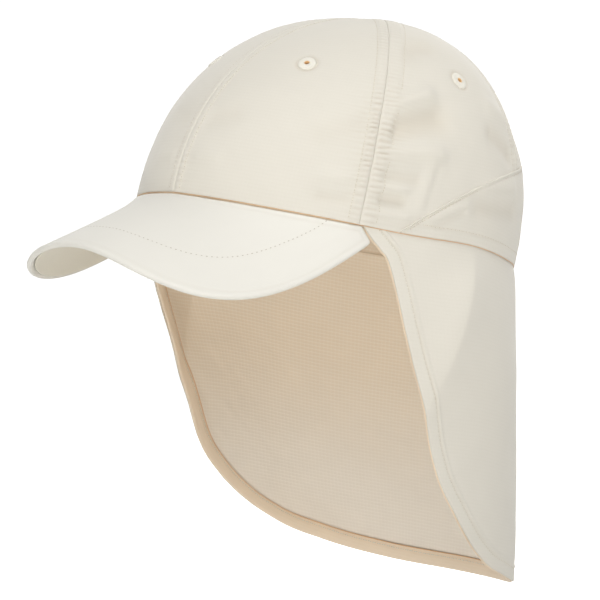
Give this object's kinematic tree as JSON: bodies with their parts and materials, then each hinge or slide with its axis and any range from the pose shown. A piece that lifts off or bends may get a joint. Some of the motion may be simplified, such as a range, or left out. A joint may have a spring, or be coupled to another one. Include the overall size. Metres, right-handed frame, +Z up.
{
  "type": "legionnaire cap",
  "caption": "Soft panelled sun cap with embroidered eyelets, a curved peak and a long hemmed neck flap that hangs from the rim.",
  "frame": {"origin": "centre of the rim, the oval that a head goes in through, which is tilted up 13.5 degrees at the front as worn", "axes": "+Z up through the crown, -Y forwards where the peak points, +X to the wearer's left"},
  "size_m": [0.1898, 0.262, 0.2859],
  "materials": {
    "crown_cloth": "matt woven sun cloth, cream",
    "peak_cloth": "matt woven cloth over a board, pale cream",
    "flap_cloth": "matt woven sun cloth, cream outside and beige inside",
    "hem_cloth": "matt woven cloth, beige",
    "eyelet_thread": "satin embroidery thread, off-white"
  },
  "bodies": {
    "root": {"front_left_panel": "crown_cloth", "side_left_panel": "crown_cloth", "back_left_panel": "crown_cloth", "back_right_panel": "crown_cloth", "side_right_panel": "crown_cloth", "front_right_panel": "crown_cloth", "front_left_eyelet": "eyelet_thread", "side_left_eyelet": "eyelet_thread", "back_left_eyelet": "eyelet_thread", "back_right_eyelet": "eyelet_thread", "side_right_eyelet": "eyelet_thread", "front_right_eyelet": "eyelet_thread", "back_yoke": "crown_cloth", "peak_top": "peak_cloth", "peak_underside": "peak_cloth", "neck_flap": "flap_cloth", "flap_hem": "hem_cloth"}
  },
  "joints": []
}
